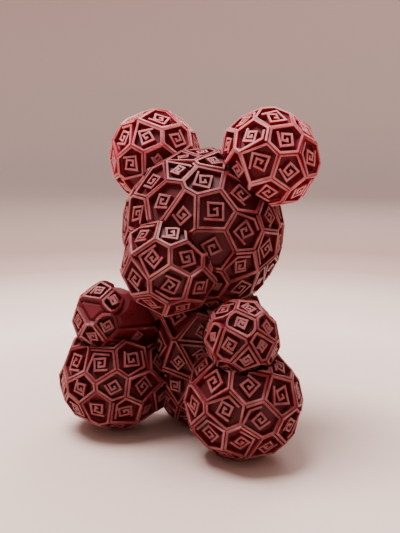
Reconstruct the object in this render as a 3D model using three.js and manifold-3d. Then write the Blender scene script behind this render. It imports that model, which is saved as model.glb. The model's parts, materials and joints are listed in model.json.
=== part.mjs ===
// Seated toy bear built from hollow faceted balls, after the way soft vinyl figures are made.
// Millimetres, +Z up. The bear faces -Y and +X is its left. It sits on the plane z = 0.
import * as THREE from 'three';
import { mergeVertices } from 'three/addons/utils/BufferGeometryUtils.js';
import Module from 'manifold-3d';

const wasm = await Module();
wasm.setup();

// Driving dimensions. Each radius is that of the ball inside the facets.
const WALL = 3.4;
const JOINT_WALL = 2.4;
const GAP = 0.3;
const FACET_UNEVENNESS = 0.25;
const HEAD = { centre: new THREE.Vector3(0, 0, 74.7), radius: 29.5, cells: 74 };
const MUZZLE = { centre: new THREE.Vector3(0, -22.3, 65.1), radius: 16.8, cells: 30 };
const EAR = { out: 24, back: 5.2, height: 101, radius: 17, cells: 30 };
const TORSO = { centre: new THREE.Vector3(0, 2, 29), half: [24.5, 21.5, 33], cells: 58 };
const ARM = {
  hand: [27.4, -22.9, 43.2], handRadius: 12.8, shoulderRadius: 9.2, length: 14, seat: 18,
  aim: [0.63, -0.745, 0.25], cells: 30,
};
const LEG = {
  foot: [26.9, -19.7, 20], footRadius: 20.1, hipRadius: 14, length: 9, seatFromAxis: 16.5,
  aim: [0.79, -0.61, 0], cells: 44,
};
const NECK_SEAT_HEIGHT = 46;
// Facet corners stand out from the inner ball by these factors, which set the turning clearances.
const HEAD_CORNER_REACH = 1.053;
const ARM_CORNER_REACH = 1.1;
const MUZZLE_CORNER_REACH = 1.135;
const ROUND_STEPS = 36;
const ARC_STEPS = 18;
const POST_STEPS = 24;
const HEAD_TURN = 6;
const FLANGE_THICKNESS = 1.6;
const FLANGE_PLAY = 0.15;
const SHAFT_PLAY = 0.08;
const NECK_POST = { shaft: 3.6, flange: 6.2 };
const SHOULDER_POST = { shaft: 2.4, flange: 4 };
const FIXED_PLUG = { shaft: 4, flange: 6.5 };
const FLOOR = 0;

// Directions that the main cells face: [turn from straight ahead towards the bear's left, lift].
const HEAD_CELLS = [
  [0, 52], [42, 65], [30, 42], [-22, 40], [-2, 28], [37, 20], [62, 32], [57, 6], [80, -8],
  [84, 14], [57, -18], [-24, 16], [15, 20], [36, -4], [0, 75],
];
const MUZZLE_CELLS = [[35, 52], [50, 17], [10, 17], [-22, 45], [32, -14], [70, -20], [85, 40], [92, 8]];
const EAR_CELLS = {
  left: [[0, 30], [45, 25], [35, 60], [80, 5], [47, -13], [14, -4], [84, -42], [26, -38]],
  right: [[22, 27], [63, 25], [4, -7], [-20, 24], [48, 60], [38, -8]],
};
const ARM_CELLS = {
  left: [[27, 35], [-18, 10], [35, -17], [78, 25], [-40, 58]],
  right: [[37, -2], [0, 30], [55, 42], [88, 0]],
};
const LEG_CELLS = {
  left: [
    [-12, 32], [37, 34], [8, 7], [45, 0], [68, 20], [-9, -18], [25, -25], [77, -15],
    [-28, 3], [2, 66], [85, 47], [0, -90],
  ],
  right: [
    [20, 30], [36, 6], [-3, 2], [63, 2], [16, -20], [46, -24], [-19, 27], [58, 32], [0, -90],
  ],
};
const TORSO_CELLS = [[-5, 25], [0, -5], [22, 8], [0, -40], [180, 0], [0, -90]];

const SHELL_FINISH = { color: 0x6b1820, roughness: 0.42, metalness: 0 };
const EAR_FINISH = { color: 0x8a1a26, roughness: 0.4, metalness: 0 };
const POST_FINISH = { color: 0x2b2526, roughness: 0.55, metalness: 0 };

const bear = new THREE.Group();

// Closed three.js geometry to solid, and back again.
function toSolid(geometry) {
  const bare = geometry.clone();
  bare.deleteAttribute('normal');
  bare.deleteAttribute('uv');
  const merged = mergeVertices(bare, 1e-4);
  const vertProperties = new Float32Array(merged.attributes.position.array);
  const triVerts = new Uint32Array(merged.index.array);
  return new wasm.Manifold(new wasm.Mesh({ numProp: 3, vertProperties, triVerts }));
}

function toGeometry(solid) {
  const mesh = solid.getMesh();
  const geometry = new THREE.BufferGeometry();
  geometry.setAttribute('position', new THREE.BufferAttribute(mesh.vertProperties, 3));
  geometry.setIndex(new THREE.BufferAttribute(mesh.triVerts, 1));
  geometry.computeVertexNormals();
  return geometry;
}

function addPiece(name, solid, centre, finish) {
  const geometry = toGeometry(solid);
  geometry.translate(-centre.x, -centre.y, -centre.z);
  const mesh = new THREE.Mesh(geometry, new THREE.MeshStandardMaterial(finish));
  mesh.name = name;
  mesh.position.copy(centre);
  bear.add(mesh);
}

// Keeps the part of a solid that lies behind the plane through a point, facing a direction.
function keepBehind(solid, direction, distance) {
  return solid.trimByPlane([-direction.x, -direction.y, -direction.z], -distance);
}

function facing([turn, lift]) {
  const turned = THREE.MathUtils.degToRad(turn);
  const lifted = THREE.MathUtils.degToRad(lift);
  const level = Math.cos(lifted);
  return new THREE.Vector3(level * Math.sin(turned), -level * Math.cos(turned), Math.sin(lifted));
}

// Directions spread evenly around a ball, with the chosen ones kept where they are.
function cellDirections(count, chosen) {
  const directions = chosen.map(facing);
  const candidates = [];
  const spiralTurn = Math.PI * (3 - Math.sqrt(5));
  const candidateCount = 12 * count;
  for (let i = 0; i < candidateCount; i += 1) {
    const z = 1 - (2 * i + 1) / candidateCount;
    const ring = Math.sqrt(1 - z * z);
    candidates.push(new THREE.Vector3(ring * Math.cos(i * spiralTurn), ring * Math.sin(i * spiralTurn), z));
  }
  while (directions.length < count) {
    const room = (candidate) => Math.min(...directions.map((other) => other.distanceTo(candidate)));
    const roomiest = candidates.reduce((best, next) => (room(next) > room(best) ? next : best));
    directions.push(roomiest.clone());
  }
  const spacing = Math.sqrt(4 * Math.PI / count);
  for (let round = 0; round < 60; round += 1) {
    for (let i = chosen.length; i < count; i += 1) {
      const push = new THREE.Vector3();
      for (const other of directions) {
        if (other !== directions[i]) {
          const apart = directions[i].clone().sub(other);
          push.addScaledVector(apart, 1 / apart.length() ** 3);
        }
      }
      directions[i].addScaledVector(push, 0.1 * spacing ** 3).normalize();
    }
  }
  return directions;
}

// The distance of a tangent plane from the origin, for each kind of body.
function ballReach(centre, radius) {
  return (direction) => direction.dot(centre) + radius;
}

function ellipsoidReach(centre, half) {
  const [x, y, z] = half;
  return (direction) => direction.dot(centre)
    + Math.hypot(direction.x * x, direction.y * y, direction.z * z);
}

function taperedReach(bigCentre, bigRadius, smallCentre, smallRadius) {
  const big = ballReach(bigCentre, bigRadius);
  const small = ballReach(smallCentre, smallRadius);
  return (direction) => Math.max(big(direction), small(direction));
}

// A convex solid with one flat facet for each direction. Facets sit slightly uneven.
function facetedSolid(directions, reach) {
  const blockSize = 400;
  let solid = toSolid(new THREE.BoxGeometry(blockSize, blockSize, blockSize));
  directions.forEach((direction, index) => {
    const unevenness = FACET_UNEVENNESS * Math.sin(7 * index + 1);
    solid = keepBehind(solid, direction, reach(direction) + unevenness);
  });
  return solid;
}

// A solid of revolution about the line through a base point along a direction.
function turnedSolid(profile, base, direction, roundSteps) {
  const points = profile.map(([radius, along]) => new THREE.Vector2(radius, along));
  const geometry = new THREE.LatheGeometry(points, roundSteps);
  const turn = new THREE.Quaternion().setFromUnitVectors(new THREE.Vector3(0, 1, 0), direction);
  geometry.applyQuaternion(turn);
  geometry.translate(base.x, base.y, base.z);
  return toSolid(geometry);
}

function turnedBall(centre, radius) {
  const profile = [];
  for (let i = 0; i <= ARC_STEPS; i += 1) {
    const angle = -Math.PI / 2 + Math.PI * i / ARC_STEPS;
    profile.push([i % ARC_STEPS === 0 ? 0 : radius * Math.cos(angle), radius * Math.sin(angle)]);
  }
  return turnedSolid(profile, centre, new THREE.Vector3(0, 0, 1), ROUND_STEPS);
}

function turnedRod(base, direction, radius, from, to) {
  const profile = [[0, from], [radius, from], [radius, to], [0, to]];
  return turnedSolid(profile, base, direction, POST_STEPS);
}

// A post with a flange at each end. It runs through two walls that meet at a seat.
function flangedPost(seat, direction, size, wallBefore, wallAfter) {
  const before = wallBefore + GAP / 2 + FLANGE_PLAY;
  const after = wallAfter + GAP / 2 + FLANGE_PLAY;
  const profile = [
    [0, -before - FLANGE_THICKNESS],
    [size.flange, -before - FLANGE_THICKNESS],
    [size.flange, -before],
    [size.shaft, -before],
    [size.shaft, after],
    [size.flange, after],
    [size.flange, after + FLANGE_THICKNESS],
    [0, after + FLANGE_THICKNESS],
  ];
  return turnedSolid(profile, seat, direction, POST_STEPS);
}

function postHole(seat, direction, size) {
  const reach = 2 * WALL;
  return turnedRod(seat, direction, size.shaft + SHAFT_PLAY, -reach, reach);
}

// Room inside a shell for a post's flange, on the far side of the wall at the seat.
function flangeRoom(seat, direction, size) {
  const from = GAP / 2 + JOINT_WALL;
  const to = from + FLANGE_THICKNESS + 4 * FLANGE_PLAY;
  return turnedRod(seat, direction, size.flange + 2 * FLANGE_PLAY, from, to);
}

// A seat is a plane across the line from one body to the next: a point and a direction.
function seatPlane(point, direction) {
  return { point, direction, distance: point.dot(direction) };
}

// Where the flat seat between two overlapping balls lies.
function seatBetween(ball, other) {
  const line = other.centre.clone().sub(ball.centre);
  const apart = line.length();
  const direction = line.clone().normalize();
  const along = (apart ** 2 + ball.radius ** 2 - other.radius ** 2) / (2 * apart);
  return seatPlane(ball.centre.clone().addScaledVector(direction, along), direction);
}

function mirroredX([x, y, z], side) {
  return new THREE.Vector3(side * x, y, z);
}

const SIDES = [['left', 1], ['right', -1]];

// Head, ears and muzzle.
const headTurnRadius = HEAD.radius * HEAD_CORNER_REACH;
const headAxis = new THREE.Vector3(0, 0, 1);
const neckSeat = seatPlane(new THREE.Vector3(0, 0, NECK_SEAT_HEIGHT), headAxis);

const headDirections = cellDirections(HEAD.cells, HEAD_CELLS);
let headOuter = facetedSolid(headDirections, ballReach(HEAD.centre, HEAD.radius));
let headInner = facetedSolid(headDirections, ballReach(HEAD.centre, HEAD.radius - WALL));
headOuter = headOuter.trimByPlane([0, 0, 1], NECK_SEAT_HEIGHT + GAP / 2);
headInner = headInner.trimByPlane([0, 0, 1], NECK_SEAT_HEIGHT + GAP / 2 + JOINT_WALL);
// The head ball is nearly tangent to its seat, so its hollow is widened to let the flange in.
headInner = headInner.add(flangeRoom(neckSeat.point, headAxis, NECK_POST));
let headHoles = postHole(neckSeat.point, headAxis, NECK_POST);

// A ball stuck onto the head: its flat seat, its shell, and the plug that holds it.
function addHeadBall(name, plugName, ball, chosen, finish) {
  const seat = seatBetween(HEAD, ball);
  const inward = seat.direction.clone().negate();
  const directions = cellDirections(ball.cells, chosen);
  const outer = keepBehind(
    facetedSolid(directions, ballReach(ball.centre, ball.radius)),
    inward,
    -seat.distance - GAP / 2,
  );
  const inner = keepBehind(
    facetedSolid(directions, ballReach(ball.centre, ball.radius - WALL)),
    inward,
    -seat.distance - GAP / 2 - JOINT_WALL,
  );
  const hole = postHole(seat.point, seat.direction, FIXED_PLUG);
  addPiece(name, outer.subtract(inner).subtract(hole), ball.centre, finish);
  headOuter = keepBehind(headOuter, seat.direction, seat.distance - GAP / 2);
  headInner = keepBehind(headInner, seat.direction, seat.distance - GAP / 2 - JOINT_WALL);
  headHoles = headHoles.add(hole);
  const plug = flangedPost(seat.point, seat.direction, FIXED_PLUG, JOINT_WALL, JOINT_WALL);
  addPiece(plugName, plug, seat.point, POST_FINISH);
}

for (const [sideName, side] of SIDES) {
  const centre = mirroredX([EAR.out, EAR.back, EAR.height], side);
  const ear = { centre, radius: EAR.radius, cells: EAR.cells };
  addHeadBall(`ear_shell_${sideName}`, `ear_plug_${sideName}`, ear, EAR_CELLS[sideName], EAR_FINISH);
}
addHeadBall('muzzle_shell', 'muzzle_plug', MUZZLE, MUZZLE_CELLS, SHELL_FINISH);
addPiece('head_shell', headOuter.subtract(headInner).subtract(headHoles), HEAD.centre, SHELL_FINISH);
addPiece(
  'neck_post',
  flangedPost(neckSeat.point, headAxis, NECK_POST, JOINT_WALL, JOINT_WALL),
  neckSeat.point,
  POST_FINISH,
);

// The room that the head and muzzle sweep as the head turns, with an added margin.
function headSweep(margin) {
  const ball = turnedBall(HEAD.centre, headTurnRadius + margin);
  const lowest = NECK_SEAT_HEIGHT + GAP / 2 - margin;
  const seated = ball.trimByPlane([0, 0, 1], lowest);
  const muzzle = turnedBall(MUZZLE.centre, MUZZLE.radius * MUZZLE_CORNER_REACH + margin);
  const turnedMuzzles = [-HEAD_TURN, 0, HEAD_TURN].map((turn) => muzzle.rotate([0, 0, turn]));
  return turnedMuzzles.reduce((sweep, next) => sweep.add(next), seated);
}

// Torso, before its limbs are let in.
const torsoDirections = cellDirections(TORSO.cells, TORSO_CELLS);
const torsoInside = TORSO.half.map((size) => size - WALL);
let torsoOuter = facetedSolid(torsoDirections, ellipsoidReach(TORSO.centre, TORSO.half));
let torsoInner = facetedSolid(torsoDirections, ellipsoidReach(TORSO.centre, torsoInside));
torsoOuter = torsoOuter.trimByPlane([0, 0, 1], FLOOR).subtract(headSweep(GAP));
torsoInner = torsoInner.trimByPlane([0, 0, 1], FLOOR + JOINT_WALL);
torsoInner = torsoInner.subtract(headSweep(GAP + JOINT_WALL));
let torsoHoles = postHole(neckSeat.point, headAxis, NECK_POST);

// An arm turns about the line through its hand and shoulder.
function armBodies(side) {
  const hand = mirroredX(ARM.hand, side);
  const axis = mirroredX(ARM.aim, side).normalize();
  const shoulder = hand.clone().addScaledVector(axis, -ARM.length);
  const seat = seatPlane(hand.clone().addScaledVector(axis, -ARM.seat), axis);
  return { hand, axis, shoulder, seat };
}

// The room that an arm sweeps: two balls and the cone that touches both, with an added margin.
function armSweep(arm, margin) {
  const handRadius = ARM.handRadius * ARM_CORNER_REACH + margin;
  const shoulderRadius = ARM.shoulderRadius * ARM_CORNER_REACH + margin;
  const lean = Math.asin((handRadius - shoulderRadius) / ARM.length);
  const profile = [];
  const arcSteps = ARC_STEPS / 2;
  for (let i = 0; i <= arcSteps; i += 1) {
    const angle = -Math.PI / 2 + (Math.PI / 2 + lean) * i / arcSteps;
    const radius = i === 0 ? 0 : shoulderRadius * Math.cos(angle);
    profile.push([radius, shoulderRadius * Math.sin(angle) - ARM.length]);
  }
  for (let i = 0; i <= arcSteps; i += 1) {
    const angle = lean + (Math.PI / 2 - lean) * i / arcSteps;
    const radius = i === arcSteps ? 0 : handRadius * Math.cos(angle);
    profile.push([radius, handRadius * Math.sin(angle)]);
  }
  const swept = turnedSolid(profile, arm.hand, arm.axis, ROUND_STEPS);
  const inward = arm.axis.clone().negate();
  return keepBehind(swept, inward, -arm.seat.distance - GAP / 2 + margin);
}

function addArm(sideName, arm) {
  const inward = arm.axis.clone().negate();
  const directions = cellDirections(ARM.cells, ARM_CELLS[sideName]);
  const reach = taperedReach(arm.hand, ARM.handRadius, arm.shoulder, ARM.shoulderRadius);
  const innerReach = taperedReach(
    arm.hand,
    ARM.handRadius - WALL,
    arm.shoulder,
    ARM.shoulderRadius - WALL - 1,
  );
  const outer = facetedSolid(directions, reach).intersect(armSweep(arm, 0));
  const inner = keepBehind(
    facetedSolid(directions, innerReach),
    inward,
    -arm.seat.distance - GAP / 2 - JOINT_WALL,
  ).add(flangeRoom(arm.seat.point, arm.axis, SHOULDER_POST));
  const hole = postHole(arm.seat.point, arm.axis, SHOULDER_POST);
  addPiece(`arm_shell_${sideName}`, outer.subtract(inner).subtract(hole), arm.hand, SHELL_FINISH);
  const post = flangedPost(arm.seat.point, arm.axis, SHOULDER_POST, JOINT_WALL, JOINT_WALL);
  addPiece(`shoulder_post_${sideName}`, post, arm.seat.point, POST_FINISH);
  torsoOuter = torsoOuter.subtract(armSweep(arm, GAP));
  torsoInner = torsoInner.subtract(armSweep(arm, GAP + JOINT_WALL));
  torsoInner = torsoInner.add(flangeRoom(arm.seat.point, inward, SHOULDER_POST));
  torsoHoles = torsoHoles.add(hole);
}

// A leg is fixed to the torso on a flat seat, with a hollow where the arm turns above it.
function addLeg(sideName, side, arm) {
  const foot = mirroredX(LEG.foot, side);
  const axis = mirroredX(LEG.aim, side).normalize();
  const inward = axis.clone().negate();
  const hip = foot.clone().addScaledVector(axis, -LEG.length);
  const torsoAxisPoint = new THREE.Vector3(0, TORSO.centre.y, LEG.foot[2]);
  const seat = seatPlane(torsoAxisPoint.addScaledVector(axis, LEG.seatFromAxis), axis);
  const directions = cellDirections(LEG.cells, LEG_CELLS[sideName]);
  const reach = taperedReach(foot, LEG.footRadius, hip, LEG.hipRadius);
  const innerReach = taperedReach(foot, LEG.footRadius - WALL, hip, LEG.hipRadius - WALL);
  let outer = keepBehind(facetedSolid(directions, reach), inward, -seat.distance - GAP / 2);
  outer = outer.trimByPlane([0, 0, 1], FLOOR).subtract(armSweep(arm, GAP));
  let inner = keepBehind(
    facetedSolid(directions, innerReach),
    inward,
    -seat.distance - GAP / 2 - JOINT_WALL,
  );
  inner = inner.trimByPlane([0, 0, 1], FLOOR + JOINT_WALL);
  inner = inner.subtract(armSweep(arm, GAP + JOINT_WALL));
  const hole = postHole(seat.point, axis, FIXED_PLUG);
  addPiece(`leg_shell_${sideName}`, outer.subtract(inner).subtract(hole), foot, SHELL_FINISH);
  const plug = flangedPost(seat.point, axis, FIXED_PLUG, JOINT_WALL, JOINT_WALL);
  addPiece(`hip_plug_${sideName}`, plug, seat.point, POST_FINISH);
  // The torso is hollowed to the leg's own outline, with the seat at the bottom of the hollow.
  const socket = (margin) => keepBehind(
    facetedSolid(directions, (direction) => reach(direction) + margin),
    inward,
    -seat.distance - GAP / 2 + margin,
  );
  torsoOuter = torsoOuter.subtract(socket(GAP));
  torsoInner = torsoInner.subtract(socket(GAP + JOINT_WALL));
  torsoHoles = torsoHoles.add(hole);
}

const arms = SIDES.map(([, side]) => armBodies(side));
SIDES.forEach(([sideName, side], index) => addLeg(sideName, side, arms[index]));
SIDES.forEach(([sideName], index) => addArm(sideName, arms[index]));
addPiece('torso_shell', torsoOuter.subtract(torsoInner).subtract(torsoHoles), TORSO.centre, SHELL_FINISH);

// The origin lies under the middle of the bear's outline.
const outline = new THREE.Box3().setFromObject(bear);
bear.position.y = -(outline.min.y + outline.max.y) / 2;

export default bear;
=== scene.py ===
"""Looks of the seated toy bear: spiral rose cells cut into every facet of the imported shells."""

import json
import math
import random

import bmesh
import bpy
import numpy as np
from mathutils import Matrix, Vector


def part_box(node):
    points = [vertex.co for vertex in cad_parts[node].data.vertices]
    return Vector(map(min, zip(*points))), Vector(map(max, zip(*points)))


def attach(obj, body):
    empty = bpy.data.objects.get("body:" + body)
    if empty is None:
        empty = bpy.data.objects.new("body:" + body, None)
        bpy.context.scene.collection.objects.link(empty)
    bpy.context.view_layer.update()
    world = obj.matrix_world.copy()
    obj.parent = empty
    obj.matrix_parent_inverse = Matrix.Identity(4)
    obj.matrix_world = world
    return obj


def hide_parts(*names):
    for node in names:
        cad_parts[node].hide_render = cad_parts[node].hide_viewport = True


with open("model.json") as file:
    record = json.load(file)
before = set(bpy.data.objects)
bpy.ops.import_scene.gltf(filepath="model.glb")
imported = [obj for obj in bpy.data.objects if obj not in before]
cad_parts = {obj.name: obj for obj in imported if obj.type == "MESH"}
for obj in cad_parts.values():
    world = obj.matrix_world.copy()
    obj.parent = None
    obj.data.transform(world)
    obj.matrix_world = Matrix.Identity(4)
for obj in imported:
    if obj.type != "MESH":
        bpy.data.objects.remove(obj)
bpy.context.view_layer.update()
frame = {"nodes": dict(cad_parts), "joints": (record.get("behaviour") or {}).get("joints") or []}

MM = 0.001

# The relief: its depth on flat facets and on rounded parts, and how far ridges reach below its floor.
RELIEF_DEPTH = 2.4 * MM
ROUND_DEPTH = 1.5 * MM
ROOT_DEPTH = 0.3 * MM

# The ridges of a rose: their widths, the groove round the rim, and the pitch of a doubled side.
RIDGE_TOP = 0.72 * MM
RIDGE_ROOT = 1.1 * MM
GROOVE = 0.7 * MM
DOUBLE_PITCH = 1.45 * MM
DOUBLE_SHARE = 0.5

# Where a path turns: the least cosine of half the turn that a mitre follows, and how short the sum of the
# two side directions is when a path doubles back on itself.
MITRE_LIMIT = 0.5
FULL_REVERSAL = 1e-6

# How far a rose's top lies under its facet, and how much it leans.
TOP_CLEARANCE = 0.03 * MM
CELL_DROP = 0.4 * MM
CELL_TILT = 0.05

# Corner distances of a rose's spiral, as shares of the rim's inner radius, quarter turn by quarter turn.
SPIRAL = (0.84, 0.8, 0.74, 0.63, 0.46, 0.34, 0.24, 0.1)
QUARTER_TURN = math.radians(90)
TURN_UNEVENNESS = math.radians(9)
RADIUS_UNEVENNESS = 0.06

# Sizes that decide where roses go. A rose's own sizes are inner radii, and a strip's is half its width.
ROSE_AREA = 125 * MM * MM
SMALLEST_ROSE = 1.9 * MM
SMALLEST_DOUBLED = 3.6 * MM
ROUND_SPACING = 8.5 * MM
WIDEST_STRIP = 1.2 * MM
SMALLEST_FACET = 3.0 * MM * MM
SMALLEST_BRIDGE = 0.2 * MM * MM
SETTLING_ROUNDS = 12

# Tolerances for finding planes in a mesh: directions are cosines between normals.
SMALLEST_FACE = 1e-4 * MM * MM
FLATNESS = 0.02 * MM
SAME_PLANE = 0.05 * MM
PARALLEL = 0.9998
ALIKE = 0.998
DOWNWARD = -0.99
STEEP = 0.9
WELD = 0.0005 * MM
SHORTEST_EDGE = 0.0002 * MM
CORNER_WELD = 0.001 * MM

# Distances round the seats of the posts, and one that is larger than the object.
SEAT_REACH = 4.0 * MM
SEAT_ROOM = 2.0 * MM
BEYOND = 200 * MM

# CAD node, body, material slot and random seed of each rose-covered shell.
ROSE_SHELLS = {
    "head_roses": ("head_shell", "head", "body_vinyl", 3),
    "muzzle_roses": ("muzzle_shell", "head", "body_vinyl", 5),
    "ear_roses_left": ("ear_shell_left", "head", "ear_vinyl", 8),
    "ear_roses_right": ("ear_shell_right", "head", "ear_vinyl", 13),
    "torso_roses": ("torso_shell", "torso", "body_vinyl", 21),
    "arm_roses_left": ("arm_shell_left", "arm_left", "body_vinyl", 34),
    "arm_roses_right": ("arm_shell_right", "arm_right", "body_vinyl", 55),
    "leg_roses_left": ("leg_shell_left", "torso", "body_vinyl", 89),
    "leg_roses_right": ("leg_shell_right", "torso", "body_vinyl", 144),
}
POSTS = [name for name in frame["nodes"] if "post" in name or "plug" in name]


def new_object(name, mesh):
    obj = bpy.data.objects.new(name, mesh)
    bpy.context.scene.collection.objects.link(obj)
    return obj


def box_middle(node):
    """The middle of a CAD node's box."""
    low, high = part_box(node)
    return np.array((low + high) / 2)


# ---------------------------------------------------------------- facets of a shell


def closed_copy(node):
    """A CAD node's mesh with its corners welded, as a closed solid."""
    mesh = frame["nodes"][node].data.copy()
    solid = bmesh.new()
    solid.from_mesh(mesh)
    bmesh.ops.remove_doubles(solid, verts=solid.verts, dist=WELD)
    bmesh.ops.dissolve_degenerate(solid, edges=solid.edges, dist=SHORTEST_EDGE)
    solid.to_mesh(mesh)
    solid.free()
    mesh.materials.clear()
    return mesh


def flat_sides(faces):
    """(normal, distance, area, middle) of each plane that a list of bmesh faces lies in."""
    sides = []
    for face in faces:
        area = face.calc_area()
        if area < SMALLEST_FACE:
            continue
        normal = np.array(face.normal)
        centre = np.array(face.calc_center_median())
        distance = float(normal @ centre)
        for side in sides:
            if side[0] @ normal > PARALLEL and abs(side[1] - distance) < SAME_PLANE:
                side[2] += area
                side[3] += centre * area
                break
        else:
            sides.append([normal, distance, area, centre * area])
    return [(normal, distance, area, moment / area) for normal, distance, area, moment in sides]


def closing_planes(solid, points, known):
    """Planes a little outside the seats and hollows of a shell, from its convex hull.

    The known planes, which start with a normal, already bound the shell on their own sides.
    """
    hull = bmesh.ops.convex_hull(solid, input=solid.verts)["geom"]
    centre = points.mean(axis=0)
    closers = []
    for face in hull:
        if not isinstance(face, bmesh.types.BMFace) or face.calc_area() < SMALLEST_BRIDGE:
            continue
        face.normal_update()
        normal = np.array(face.normal)
        if normal @ (np.array(face.calc_center_median()) - centre) < 0:
            normal = -normal
        if all(normal @ plane[0] < ALIKE for plane in known + closers):
            closers.append((normal, float((points @ normal).max()) + SEAT_ROOM))
    return closers


def outside_planes(mesh):
    """The planes on the outside of a shell, as three lists.

    The facets come first. The narrow strips of its rounded parts come next, each with its middle. The
    closing planes come last.
    """
    points = np.array([v.co for v in mesh.vertices])
    posts = [box_middle(name) for name in POSTS]
    solid = bmesh.new()
    solid.from_mesh(mesh)
    outside = []
    for normal, distance, area, centre in flat_sides(solid.faces):
        on_seat = min(np.linalg.norm(centre - post) for post in posts) < SEAT_REACH
        if (points @ normal).max() <= distance + FLATNESS and not on_seat:
            outside.append((normal, distance, area, centre))
    facets, strips = [], []
    for index, (normal, distance, area, centre) in enumerate(outside):
        others = [side[:2] for side in outside[:index] + outside[index + 1:]]
        outline = flat_outline(facet_outline((normal, distance), others), normal)
        if area > SMALLEST_FACET and len(outline) >= 3 and inner_radius(outline) > WIDEST_STRIP:
            facets.append((normal, distance))
        else:
            strips.append((normal, distance, centre))
    closers = closing_planes(solid, points, facets + strips)
    solid.free()
    return facets, strips, closers


def clip(polygon, normal, distance):
    """The part of a flat polygon behind a plane, or behind a line in 2-D."""
    kept = []
    for start, end in zip(polygon, polygon[1:] + polygon[:1]):
        from_start = float(normal @ start) - distance
        from_end = float(normal @ end) - distance
        if from_start <= 0:
            kept.append(start)
        if (from_start < 0 < from_end) or (from_end < 0 < from_start):
            kept.append(start + (end - start) * (from_start / (from_start - from_end)))
    return kept


def facet_axes(normal):
    """Two directions in a facet, square to each other and to its normal."""
    helper = np.array((0.0, 0.0, 1.0)) if abs(normal[2]) < STEEP else np.array((1.0, 0.0, 0.0))
    across = np.cross(helper, normal)
    across /= np.linalg.norm(across)
    return across, np.cross(normal, across)


def facet_outline(plane, others):
    """The corners of a facet in one plane, cut out by the other planes."""
    normal, distance = plane
    across, up = facet_axes(normal)
    square = [(-BEYOND, -BEYOND), (BEYOND, -BEYOND), (BEYOND, BEYOND), (-BEYOND, BEYOND)]
    outline = [normal * distance + across * x + up * y for x, y in square]
    for other_normal, other_distance in others:
        if outline:
            outline = clip(outline, other_normal, other_distance)
    return outline


def flat_outline(outline, normal):
    """A facet's outline in 2-D, round its own middle."""
    across, up = facet_axes(normal)
    flat = tidy_outline([np.array((p @ across, p @ up)) for p in outline])
    if len(flat) < 3:
        return []
    shift = centroid(flat)
    return [p - shift for p in flat]


def nearer_side(here, there):
    """The plane, or the line in 2-D, halfway between two points, facing the second."""
    towards = (there - here) / np.linalg.norm(there - here)
    return towards, float(towards @ (here + there) / 2)


def round_cells(strips, taken):
    """(normal, distance, middle) of strips about a rose apart, and away from the points already taken."""
    chosen = []
    for normal, distance, centre in strips:
        near = taken + [cell[2] for cell in chosen]
        if all(np.linalg.norm(centre - point) > ROUND_SPACING for point in near):
            chosen.append((normal, distance, centre))
    return chosen


# ---------------------------------------------------------------- one rose


def tidy_outline(points):
    """A 2-D outline without sides shorter than a ridge."""
    kept = []
    for point in points:
        if not kept or np.linalg.norm(point - kept[-1]) > RIDGE_TOP:
            kept.append(point)
    if len(kept) > 1 and np.linalg.norm(kept[0] - kept[-1]) <= RIDGE_TOP:
        kept.pop()
    return kept


def inset_outline(points, inset):
    """A convex, counterclockwise 2-D outline moved inwards all round."""
    outline = points
    for start, end in zip(points, points[1:] + points[:1]):
        along = (end - start) / np.linalg.norm(end - start)
        outward = np.array((along[1], -along[0]))
        outline = clip(outline, outward, float(outward @ start) - inset)
        if len(outline) < 3:
            return []
    return tidy_outline(outline)


def centroid(outline):
    """The middle of a 2-D outline's area."""
    area, moment = 0.0, np.zeros(2)
    for start, end in zip(outline, outline[1:] + outline[:1]):
        cross = start[0] * end[1] - start[1] * end[0]
        area += cross / 2
        moment += (start + end) * cross / 6
    return moment / area


def outline_area(outline):
    """The area of a counterclockwise 2-D outline."""
    pairs = zip(outline, outline[1:] + outline[:1])
    return sum(start[0] * end[1] - start[1] * end[0] for start, end in pairs) / 2


def split_outline(outline, chance):
    """A 2-D outline as one or more cells of about the size of a rose."""
    count = max(1, round(outline_area(outline) / ROSE_AREA))
    if count == 1:
        return [outline]
    spread = max(np.linalg.norm(p) for p in outline)
    centres = []
    for _ in range(count):
        x = chance.uniform(-spread, spread)
        centres.append(np.array((x, chance.uniform(-spread, spread))))
    for _ in range(SETTLING_ROUNDS):
        cells = []
        for i, centre in enumerate(centres):
            cell = outline
            for other in centres[:i] + centres[i + 1:]:
                cell = clip(cell, *nearer_side(centre, other)) if cell else cell
            if len(cell) >= 3:
                cells.append(cell)
        centres = [centroid(cell) for cell in cells]
    return cells


def inner_radius(outline):
    """The distance from the origin to the nearest side of a 2-D outline round it."""
    nearest = math.inf
    for start, end in zip(outline, outline[1:] + outline[:1]):
        along = (end - start) / np.linalg.norm(end - start)
        nearest = min(nearest, abs(along[0] * start[1] - along[1] * start[0]))
    return nearest


def rose_paths(rim, hand, chance):
    """(path, closed) of a rose's two ridges: the rim, often with one side doubled, and the spiral."""
    count = len(rim)
    first = chance.randrange(count)
    doubled = chance.random() < DOUBLE_SHARE
    corners = [rim[(first + hand * i) % count] for i in range(count)]
    room = inner_radius(rim)
    angle = math.atan2(corners[1][1], corners[1][0])
    inside = inset_outline(rim, DOUBLE_PITCH)
    doubled = doubled and room > SMALLEST_DOUBLED and len(inside) == count
    if doubled:
        corners += [min(inside, key=lambda p: np.linalg.norm(p - c)) for c in corners[:2]]
        room -= RIDGE_TOP
    spiral = []
    for share in SPIRAL:
        angle += hand * (QUARTER_TURN + chance.uniform(-TURN_UNEVENNESS, TURN_UNEVENNESS))
        radius = room * share * chance.uniform(1 - RADIUS_UNEVENNESS, 1 + RADIUS_UNEVENNESS)
        spiral.append(np.array((math.cos(angle), math.sin(angle))) * radius)
    return (corners, not doubled), (spiral, False)


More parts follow.
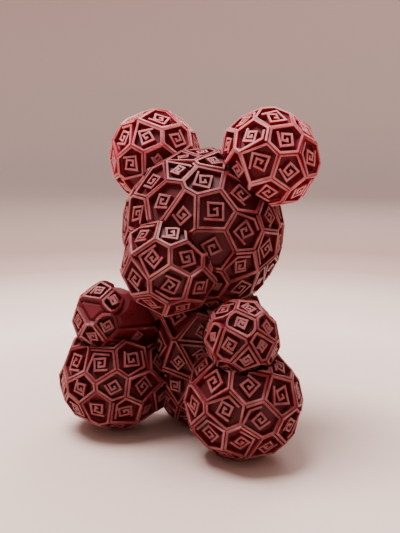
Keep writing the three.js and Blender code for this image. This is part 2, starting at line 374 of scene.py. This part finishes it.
def offset_path(path, half_width, closed):
    """The two edges of a ridge that follows a path, with mitred corners."""
    left, right = [], []
    last = len(path) - 1
    for i, point in enumerate(path):
        first = point - path[i - 1] if i > 0 or closed else path[i + 1] - point
        second = path[(i + 1) % len(path)] - point if i < last or closed else point - path[i - 1]
        first = first / np.linalg.norm(first)
        second = second / np.linalg.norm(second)
        square = np.array((-first[1], first[0]))
        side = np.array((-first[1] - second[1], first[0] + second[0]))
        length = np.linalg.norm(side)
        side = side / length if length > FULL_REVERSAL else square
        stretch = 1 / max(MITRE_LIMIT, float(side @ square))
        left.append(point + side * half_width * stretch)
        right.append(point - side * half_width * stretch)
    return left, right


def add_ridge(solid, path, closed, origin, axes, top_level):
    """Adds one ridge to a bmesh, a ring where it is closed. top_level gives its height over the facet."""
    across, up, normal = axes
    root_level = -RELIEF_DEPTH - ROOT_DEPTH

    def corner(point, level):
        return solid.verts.new(origin + across * point[0] + up * point[1] + normal * level)

    top = [[corner(p, top_level(p)) for p in side] for side in offset_path(path, RIDGE_TOP / 2, closed)]
    root = [[corner(p, root_level) for p in side] for side in offset_path(path, RIDGE_ROOT / 2, closed)]
    last = len(path) - 1
    for i in range(len(path) if closed else last):
        j = (i + 1) % len(path)
        solid.faces.new((top[0][i], top[1][i], top[1][j], top[0][j]))
        solid.faces.new((root[0][j], root[1][j], root[1][i], root[0][i]))
        solid.faces.new((top[0][j], root[0][j], root[0][i], top[0][i]))
        solid.faces.new((top[1][i], root[1][i], root[1][j], top[1][j]))
    if not closed:
        solid.faces.new((top[0][0], root[0][0], root[1][0], top[1][0]))
        solid.faces.new((top[1][last], root[1][last], root[0][last], top[0][last]))


# ---------------------------------------------------------------- a ball of roses


def is_underside(normal):
    """Whether a facet is one that the object rests on, which stays flat."""
    return normal[2] < DOWNWARD


def sunk_core(facets, strips, closers):
    """The convex solid under the relief, as a bmesh."""
    sunk = [(n, d if is_underside(n) else d - RELIEF_DEPTH) for n, d in facets]
    sunk += [(n, d - ROUND_DEPTH) for n, d, _ in strips] + closers
    core = bmesh.new()
    for index, plane in enumerate(sunk):
        for point in facet_outline(plane, sunk[:index] + sunk[index + 1:]):
            core.verts.new(point)
    bmesh.ops.remove_doubles(core, verts=core.verts, dist=CORNER_WELD)
    bmesh.ops.convex_hull(core, input=core.verts)
    loose = [v for v in core.verts if not v.link_faces]
    bmesh.ops.delete(core, geom=loose, context="VERTS")
    bmesh.ops.recalc_face_normals(core, faces=core.faces)
    return core


def add_roses(ridges, plane, outline, chance):
    """Adds the roses of one facet to a bmesh. Returns (normal, distance, middle) of each one's top."""
    normal = plane[0]
    if is_underside(normal) or len(outline) < 3:
        return []
    across, up = facet_axes(normal)
    mean = np.mean(outline, axis=0)
    flat = tidy_outline([np.array(((p - mean) @ across, (p - mean) @ up)) for p in outline])
    if len(flat) < 3:
        return []
    tops = []
    for cell in split_outline(flat, chance):
        hand = chance.choice((-1, 1))
        drop = TOP_CLEARANCE + chance.uniform(0, CELL_DROP)
        lean = np.array((chance.uniform(-1, 1), chance.uniform(-1, 1))) * CELL_TILT
        shift = centroid(cell)
        origin = mean + across * shift[0] + up * shift[1]
        rim = inset_outline(tidy_outline([p - shift for p in cell]), (GROOVE + RIDGE_TOP) / 2)
        if len(rim) < 3 or inner_radius(rim) < SMALLEST_ROSE:
            continue
        drop += max(abs(float(lean @ c)) for c in rim)

        def top_level(point):
            return float(lean @ point) - drop

        for path, closed in rose_paths(rim, hand, chance):
            add_ridge(ridges, path, closed, origin, (across, up, normal), top_level)
        slope = normal - across * lean[0] - up * lean[1]
        tops.append((slope, float(slope @ origin) - drop, origin))
    return tops


def cut_to_shell(ball, shell):
    """Joins the core and the ridges in an object's mesh, and keeps what lies inside a shell's mesh."""
    shell_object = new_object(f"{ball.name}_shell", shell)
    cut = ball.modifiers.new("cut", "BOOLEAN")
    cut.solver = "EXACT"
    cut.use_self = True
    cut.operation = "INTERSECT"
    cut.object = shell_object
    bpy.context.view_layer.update()
    done = bpy.data.meshes.new_from_object(ball.evaluated_get(bpy.context.evaluated_depsgraph_get()))
    if not done.polygons:
        raise RuntimeError(f"{ball.name} came out empty")
    ball.modifiers.clear()
    ball.data = done
    bpy.data.objects.remove(shell_object)


def rose_ball(name, node, seed):
    """A shell whose facets are sunk between spiral ridges, cut to the CAD node's own solid."""
    chance = random.Random(seed)
    shell = closed_copy(node)
    facets, strips, closers = outside_planes(shell)
    bounds = closers + [(n, d + FLATNESS) for n, d, _ in strips]
    ridges = bmesh.new()
    tops, taken = [], []
    for index, plane in enumerate(facets):
        outline = facet_outline(plane, facets[:index] + facets[index + 1:] + bounds)
        if len(outline) >= 3:
            taken.append(np.mean(outline, axis=0))
        tops += add_roses(ridges, plane, outline, chance)
    cells = round_cells(strips, taken)
    for index, (normal, distance, centre) in enumerate(cells):
        sides = [nearer_side(centre, other[2]) for other in cells[:index] + cells[index + 1:]]
        outline = facet_outline((normal, distance), facets + closers + sides)
        tops += add_roses(ridges, (normal, distance), outline, chance)
    ridge_mesh = bpy.data.meshes.new(f"{name}_ridges")
    ridges.to_mesh(ridge_mesh)
    ridges.free()
    core = sunk_core(facets, strips, closers)
    core.from_mesh(ridge_mesh)
    mesh = bpy.data.meshes.new(name)
    core.to_mesh(mesh)
    core.free()
    ball = new_object(name, mesh)
    cut_to_shell(ball, shell)
    store_ridge_height(ball.data, facets + [(n, d) for n, d, _ in strips], tops)
    return ball


def store_ridge_height(mesh, planes, tops):
    """Point attribute ridge: 1 on the ridge tops, 0 on the floor of the relief, negative below it. The
    vinyl materials paint shade into the hollows and sheen onto the tops by it.
    """
    points = np.array([v.co for v in mesh.vertices])
    depth = (np.array([d for _, d in planes]) - points @ np.array([n for n, _ in planes]).T).min(axis=1)
    origins = np.array([origin for _, _, origin in tops])
    nearest = np.linalg.norm(points[:, None] - origins[None], axis=2).argmin(axis=1)
    slopes = np.array([n for n, _, _ in tops])[nearest]
    below_top = np.array([d for _, d, _ in tops])[nearest] - (points * slopes).sum(axis=1)
    lowered = np.clip(depth - below_top, 0, RELIEF_DEPTH / 2)
    height = 1 - (depth - lowered) / (RELIEF_DEPTH - lowered)
    ridge = mesh.attributes.new("ridge", "FLOAT", "POINT")
    ridge.data.foreach_set("value", height.astype(np.float32))


# ---------------------------------------------------------------- materials


def new_material(name):
    material = bpy.data.materials.new(name)
    material.use_nodes = True
    tree = material.node_tree
    return material, tree, tree.nodes["Principled BSDF"]


def ramp(tree, source, stops):
    """A colour ramp over a value. Each stop is (place, colour)."""
    node = tree.nodes.new("ShaderNodeValToRGB")
    while len(node.color_ramp.elements) < len(stops):
        node.color_ramp.elements.new(0.5)
    for element, (place, colour) in zip(node.color_ramp.elements, stops):
        element.position = place
        element.color = (*colour, 1)
    tree.links.new(source, node.inputs["Fac"])
    return node.outputs["Color"]


def noise(tree, scale, detail):
    """A noise over the surface. Its scale is in lumps per metre."""
    place = tree.nodes.new("ShaderNodeTexCoord")
    texture = tree.nodes.new("ShaderNodeTexNoise")
    texture.inputs["Scale"].default_value = scale
    texture.inputs["Detail"].default_value = detail
    tree.links.new(place.outputs["Object"], texture.inputs["Vector"])
    return texture.outputs["Fac"]


def add_grain(tree, shader, height, strength, depth):
    """Bumps a shader's surface by a noise."""
    bump = tree.nodes.new("ShaderNodeBump")
    bump.inputs["Strength"].default_value = strength
    bump.inputs["Distance"].default_value = depth
    tree.links.new(height, bump.inputs["Height"])
    tree.links.new(bump.outputs["Normal"], shader.inputs["Normal"])


FROST_PATCHES = 260
FROST_UNEVENNESS = 0.34
FROST_SHIFT = -0.29
VINYL_GRAIN = 1400
PLASTIC_GRAIN = 900


def vinyl(name, floor, wall, edge, frost_and_sheen, pale_frost_and_sheen):
    """Translucent soft vinyl with painted shade darkening the hollows, and ridge tops pale in patches,
    partly from frost and partly from painted sheen.
    """
    material, tree, shader = new_material(name)
    height = tree.nodes.new("ShaderNodeAttribute")
    height.attribute_name = "ridge"
    uneven = tree.nodes.new("ShaderNodeMath")
    uneven.operation = "MULTIPLY_ADD"
    uneven.inputs[1].default_value = FROST_UNEVENNESS
    uneven.inputs[2].default_value = FROST_SHIFT
    tree.links.new(noise(tree, FROST_PATCHES, detail=5), uneven.inputs[0])
    level = tree.nodes.new("ShaderNodeMath")
    level.operation = "ADD"
    tree.links.new(height.outputs["Fac"], level.inputs[0])
    tree.links.new(uneven.outputs[0], level.inputs[1])
    # The ramp over the ridge height paints shade and light: the floor and wall colours darken the vinyl's
    # deep red as painted shade in the hollows, and the top colours add painted sheen to the frost.
    colour = ramp(
        tree,
        level.outputs[0],
        [(0.0, floor), (0.45, wall), (0.7, edge), (0.82, frost_and_sheen), (1.0, pale_frost_and_sheen)],
    )
    tree.links.new(colour, shader.inputs["Base Color"])
    shader.inputs["Roughness"].default_value = 0.5
    shader.inputs["Specular IOR Level"].default_value = 0.22
    shader.inputs["Subsurface Weight"].default_value = 0.5
    shader.inputs["Subsurface Radius"].default_value = (1.0, 0.22, 0.18)
    shader.inputs["Subsurface Scale"].default_value = 2.2 * MM
    add_grain(tree, shader, noise(tree, VINYL_GRAIN, detail=3), strength=0.25, depth=0.08 * MM)
    return material


def post_plastic():
    """Dark hard plastic with a fine moulded grain."""
    material, tree, shader = new_material("post_plastic")
    grain = noise(tree, PLASTIC_GRAIN, detail=4)
    tone = ramp(tree, grain, [(0.3, (0.016, 0.013, 0.014)), (0.7, (0.035, 0.028, 0.03))])
    tree.links.new(tone, shader.inputs["Base Color"])
    shader.inputs["Roughness"].default_value = 0.5
    add_grain(tree, shader, grain, strength=0.2, depth=0.05 * MM)
    return material


# The body's colours run from painted shade in the hollows up to frost and painted sheen on the ridge tops.
body_material = vinyl(
    "body_vinyl",
    floor=(0.085, 0.003, 0.007),
    wall=(0.12, 0.006, 0.011),
    edge=(0.135, 0.013, 0.018),
    frost_and_sheen=(0.165, 0.035, 0.040),
    pale_frost_and_sheen=(0.32, 0.120, 0.125),
)
# The ears are a brighter, more saturated copy of the body vinyl: painted glow of light shining through the
# thin, backlit ears, on top of the same painted shade and sheen.
ear_material_painted_glow = vinyl(
    "ear_vinyl",
    floor=(0.14, 0.002, 0.010),
    wall=(0.27, 0.005, 0.020),
    edge=(0.32, 0.016, 0.034),
    frost_and_sheen=(0.42, 0.100, 0.115),
    pale_frost_and_sheen=(0.62, 0.270, 0.285),
)
finishes = {"body_vinyl": body_material, "ear_vinyl": ear_material_painted_glow}

for piece_name, (node, body, slot, seed) in ROSE_SHELLS.items():
    piece = rose_ball(piece_name, node, seed)
    piece.data.materials.clear()
    piece.data.materials.append(finishes[slot])
    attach(piece, body)
    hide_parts(node)

posts_finish = post_plastic()
for name in POSTS:
    node = frame["nodes"][name]
    node.data.materials.clear()
    node.data.materials.append(posts_finish)


# ---------------------------------------------------------------- stage, camera and light


def painted_light_cove_material(name, stops, reach):
    """A plain matt surface whose colour changes with the distance from the object, to paint light and shade
    on it by that distance.
    """
    material, tree, shader = new_material(name)
    place = tree.nodes.new("ShaderNodeTexCoord")
    distance = tree.nodes.new("ShaderNodeVectorMath")
    distance.operation = "LENGTH"
    tree.links.new(place.outputs["Object"], distance.inputs[0])
    share = tree.nodes.new("ShaderNodeMapRange")
    share.inputs["From Max"].default_value = reach
    tree.links.new(distance.outputs["Value"], share.inputs["Value"])
    colour = ramp(tree, share.outputs["Result"], stops)
    tree.links.new(colour, shader.inputs["Base Color"])
    shader.inputs["Roughness"].default_value = 0.9
    shader.inputs["Specular IOR Level"].default_value = 0.1
    return material


def cove(floor_radius, bend, height, sides=96, steps=12):
    """A round floor that bends up into a wall all round the object."""
    profile = [(floor_radius / 2, 0.0)]
    for step in range(steps + 1):
        angle = QUARTER_TURN * step / steps
        profile.append((floor_radius + bend * math.sin(angle), bend * (1 - math.cos(angle))))
    profile.append((floor_radius + bend, height))
    solid = bmesh.new()
    centre = solid.verts.new((0, 0, 0))
    turns = [math.tau * i / sides for i in range(sides)]
    rings = [[solid.verts.new((r * math.cos(t), r * math.sin(t), z)) for t in turns] for r, z in profile]
    for i in range(sides):
        following = (i + 1) % sides
        solid.faces.new((centre, rings[0][i], rings[0][following]))
        for lower, upper in zip(rings, rings[1:]):
            solid.faces.new((lower[i], upper[i], upper[following], lower[following]))
    for face in solid.faces:
        face.smooth = True
    mesh = bpy.data.meshes.new("floor")
    solid.to_mesh(mesh)
    solid.free()
    return new_object("floor", mesh)


CAMERA_TURN = math.radians(29.5)
CAMERA_LIFT = math.radians(10.5)
CAMERA_DISTANCE = 299.5 * MM
CAMERA_ASIDE = -1.1 * MM
CAMERA_HEIGHT = 59.9 * MM
LONG_SIDE_LENS = 52.3
LONG_SIDE = 36
NEAREST_SEEN = 10 * MM

backward = Vector((
    math.sin(CAMERA_TURN) * math.cos(CAMERA_LIFT),
    -math.cos(CAMERA_TURN) * math.cos(CAMERA_LIFT),
    math.sin(CAMERA_LIFT),
))
rightward = Vector((math.cos(CAMERA_TURN), math.sin(CAMERA_TURN), 0))
upward = backward.cross(rightward)
neck = next(joint for joint in frame["joints"] if joint["name"] == "neck_turn")
bear_axis = Vector((neck["pos_m"][0], neck["pos_m"][1], 0))

camera_data = bpy.data.cameras.new("camera")
camera_data.lens = LONG_SIDE_LENS
camera_data.sensor_width = LONG_SIDE
camera_data.clip_start = NEAREST_SEEN
camera = bpy.data.objects.new("camera", camera_data)
bpy.context.scene.collection.objects.link(camera)
camera.location = bear_axis + rightward * CAMERA_ASIDE + upward * CAMERA_HEIGHT + backward * CAMERA_DISTANCE
camera.rotation_euler = Matrix((rightward, upward, backward)).transposed().to_euler()
bpy.context.scene.camera = camera

floor = cove(floor_radius=1.0, bend=0.8, height=1.6)
# Colours from the object outwards, each with its share of the reach of 2 m. They are painted light and
# shade: a painted contact shadow under the object, a painted pool of light round it, a painted band of
# shade farther out, and painted light brightening the wall again.
floor_painted_light_and_shade = [
    (0.0, (0.60, 0.43, 0.39)),
    (0.08, (0.84, 0.66, 0.59)),
    (0.12, (0.70, 0.54, 0.48)),
    (0.168, (0.46, 0.31, 0.28)),
    (0.215, (0.36, 0.24, 0.215)),
    (0.6, (0.56, 0.44, 0.41)),
    (0.925, (0.90, 0.70, 0.64)),
]
floor.data.materials.append(painted_light_cove_material("floor_paper_painted_light", floor_painted_light_and_shade, reach=2.0))

world = bpy.data.worlds.new("world")
world.use_nodes = True
world.node_tree.nodes["Background"].inputs["Color"].default_value = (0.80, 0.74, 0.72, 1)
world.node_tree.nodes["Background"].inputs["Strength"].default_value = 0.75
bpy.context.scene.world = world


def soft_light(name, size, power, place, target, colour):
    """A round area light that faces a point."""
    data = bpy.data.lights.new(name, "AREA")
    data.shape = "DISK"
    data.size = size
    data.energy = power
    data.color = colour
    light = bpy.data.objects.new(name, data)
    bpy.context.scene.collection.objects.link(light)
    light.location = place
    light.rotation_euler = (Vector(target) - Vector(place)).to_track_quat("-Z", "Y").to_euler()


soft_light("key", 0.5, 16.0, place=(-0.2, -0.05, 0.8), target=(0, 0, 0.05), colour=(1, 0.96, 0.94))
soft_light("back", 0.4, 3.0, place=(-0.1, 0.6, 0.5), target=(0, 0, 0.08), colour=(1, 0.95, 0.93))
